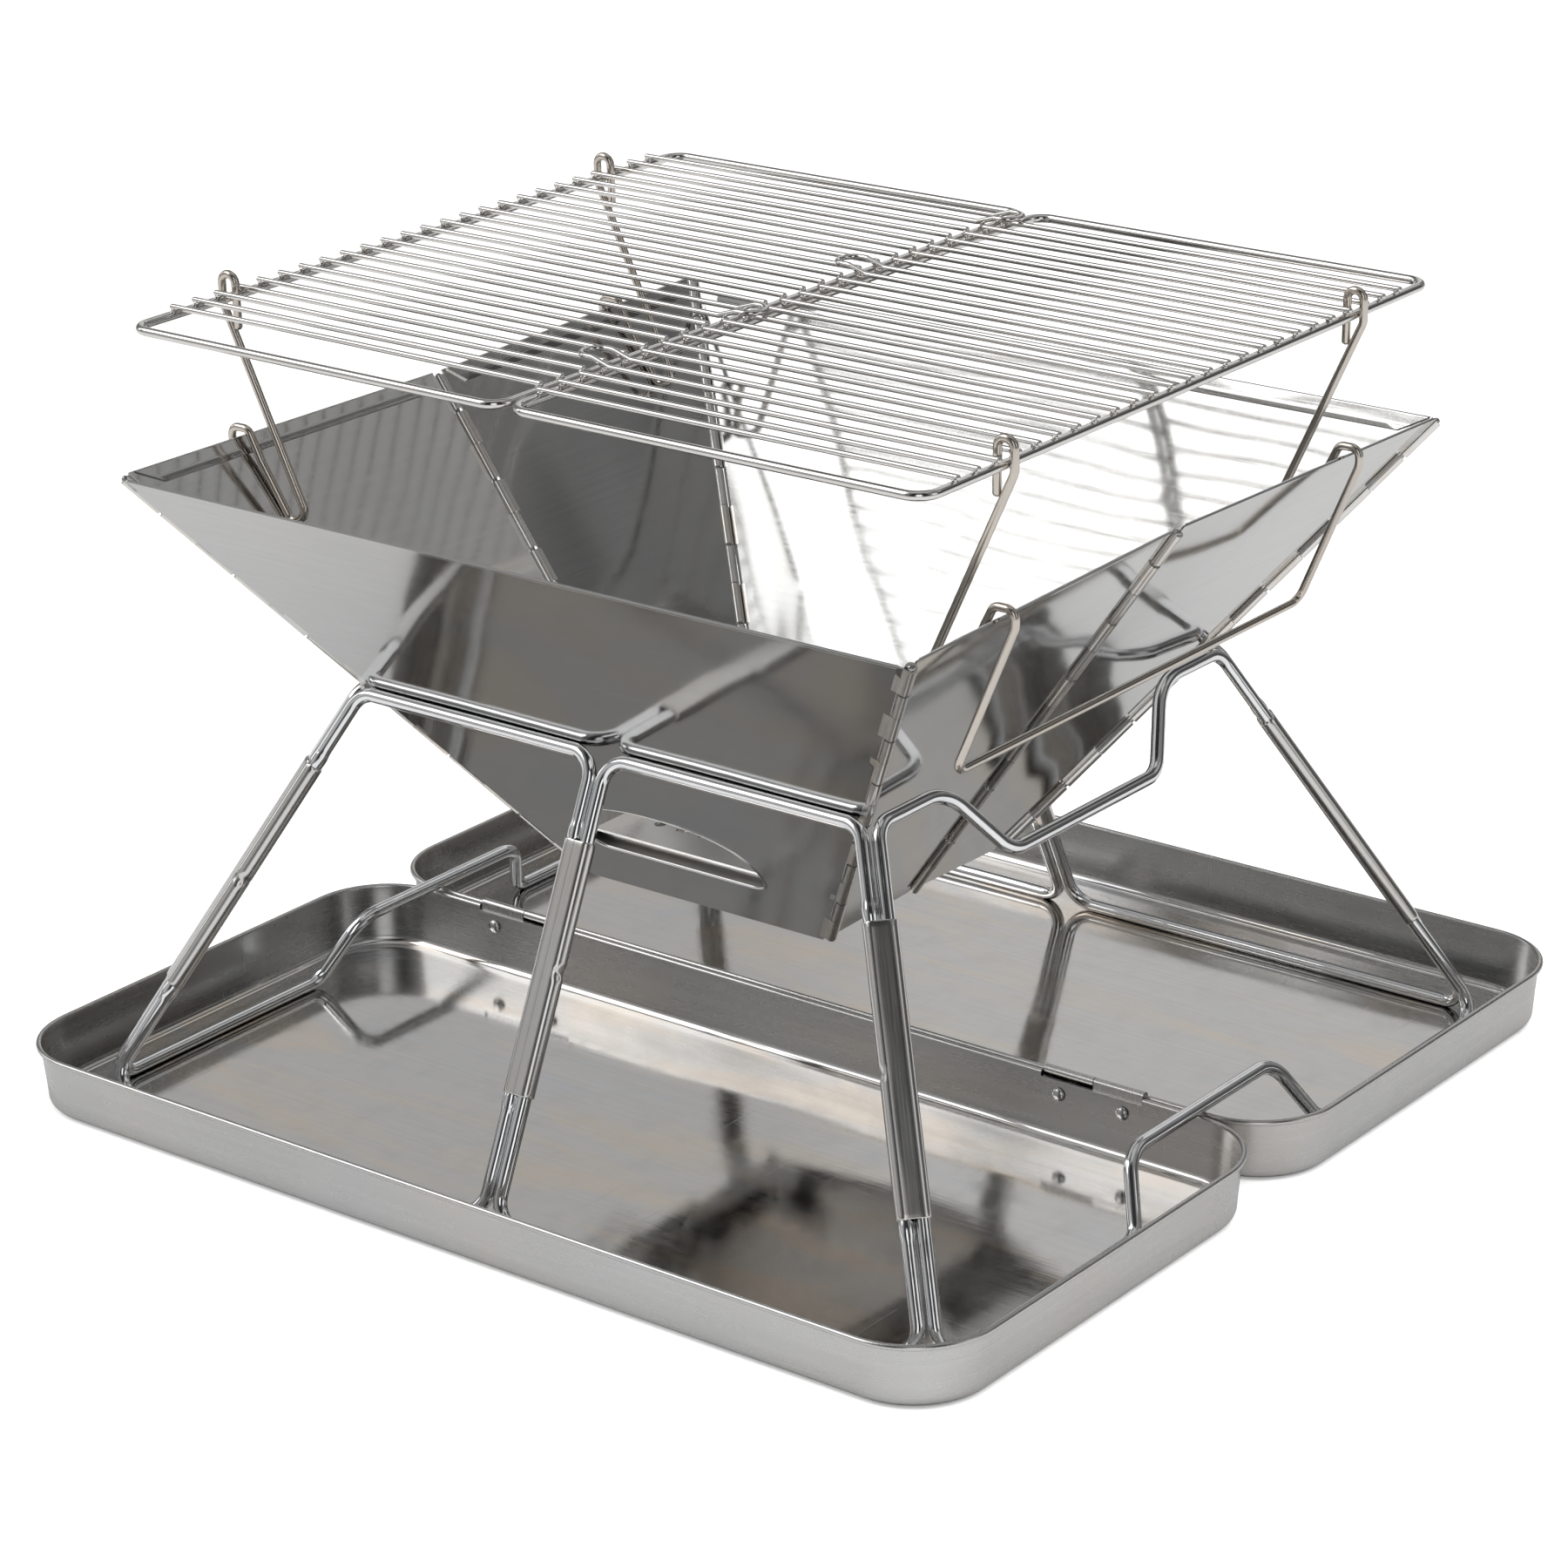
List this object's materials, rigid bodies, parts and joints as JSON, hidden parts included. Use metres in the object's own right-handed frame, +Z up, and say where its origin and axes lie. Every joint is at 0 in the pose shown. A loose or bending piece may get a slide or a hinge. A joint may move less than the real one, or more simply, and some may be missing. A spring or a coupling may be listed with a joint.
{
  "type": "folding camp grill",
  "caption": "Folding camp grill: sheet firebox on a folding wire stand in two hinged trays, with hinged grates on wire brackets.",
  "frame": {"origin": "on the ground under the middle of the joint between the two open trays", "axes": "+X along the front edge to the right, +Y to the rear, +Z up"},
  "size_m": [0.4996, 0.4796, 0.3519],
  "materials": {
    "tray": "satin drawn stainless steel",
    "rivet": "satin",
    "pin": "polished",
    "stand_wire": "bright plated wire",
    "sleeve": "polished formed sheet",
    "firebox": "mirror polished sheet",
    "plate": "pressed steel sheet",
    "bracket": "warm nickel plated wire",
    "grate": "bright wire"
  },
  "bodies": {
    "front_tray_unit": {"front_tray": "tray", "tray_hinge_front_leaves": "tray", "tray_hinge_pins": "pin", "front_tray_rivets": "rivet"},
    "rear_tray_unit": {"rear_tray": "tray", "tray_hinge_rear_leaves": "tray", "rear_tray_rivets": "rivet"},
    "stand": {"stand_front_left_loop": "stand_wire", "stand_front_right_loop": "stand_wire", "stand_right_loop": "stand_wire", "stand_rear_right_loop": "stand_wire", "stand_rear_left_loop": "stand_wire", "stand_left_loop": "stand_wire", "sleeve_front_left": "sleeve", "sleeve_front_middle": "sleeve", "sleeve_front_right": "sleeve", "sleeve_rear_right": "sleeve", "sleeve_rear_middle": "sleeve", "sleeve_rear_left": "sleeve"},
    "firebox": {"firebox_front_wall": "firebox", "firebox_rear_wall": "firebox", "firebox_right_front_panel": "firebox", "firebox_right_rear_panel": "firebox", "firebox_left_front_panel": "firebox", "firebox_left_rear_panel": "firebox", "firebox_front_pins": "pin", "firebox_rear_pins": "pin", "firebox_right_pin": "pin", "firebox_left_pin": "pin"},
    "plate": {"charcoal_plate": "plate"},
    "bracket_right_unit": {"bracket_right": "bracket"},
    "bracket_left_unit": {"bracket_left": "bracket"},
    "grate_left": {"grate_left_frame": "grate", "grate_left_bars": "grate"},
    "grate_right": {"grate_right_frame": "grate", "grate_right_bars": "grate"}
  },
  "joints": [
    {"name": "stand_lift", "type": "slide", "parent": "front_tray_unit", "child": "stand", "axis": [0, 0, 1], "range_m": [0, 1.3]},
    {"name": "tray_fold", "type": "hinge", "parent": "front_tray_unit", "child": "rear_tray_unit", "pos_m": [0, 0, 0.0291], "axis": [1, 0, 0], "range_deg": [0, 180]},
    {"name": "firebox_lift", "type": "slide", "parent": "stand", "child": "firebox", "axis": [0, 0, 1], "range_m": [0, 0.3]},
    {"name": "plate_lift", "type": "slide", "parent": "firebox", "child": "plate", "axis": [0, 0, 1], "range_m": [0, 0.12]},
    {"name": "right_bracket_lift", "type": "slide", "parent": "firebox", "child": "bracket_right_unit", "axis": [0.4068, 0, 0.9135], "range_m": [0, 0.2]},
    {"name": "left_bracket_lift", "type": "slide", "parent": "firebox", "child": "bracket_left_unit", "axis": [-0.4068, 0, 0.9135], "range_m": [0, 0.2]},
    {"name": "right_grate_tilt", "type": "hinge", "parent": "bracket_right_unit", "child": "grate_right", "pos_m": [0.202, 0, 0.34], "axis": [0, 1, 0], "range_deg": [0, 70]},
    {"name": "left_grate_tilt", "type": "hinge", "parent": "bracket_left_unit", "child": "grate_left", "pos_m": [-0.202, 0, 0.34], "axis": [0, -1, 0], "range_deg": [0, 70]}
  ],
  "couplings": [
    {"joint": "tray_fold", "follows": "stand_lift", "rad_per_m": 2.4142},
    {"joint": "left_bracket_lift", "follows": "right_bracket_lift", "ratio": 1},
    {"joint": "left_grate_tilt", "follows": "right_grate_tilt", "ratio": 1}
  ]
}
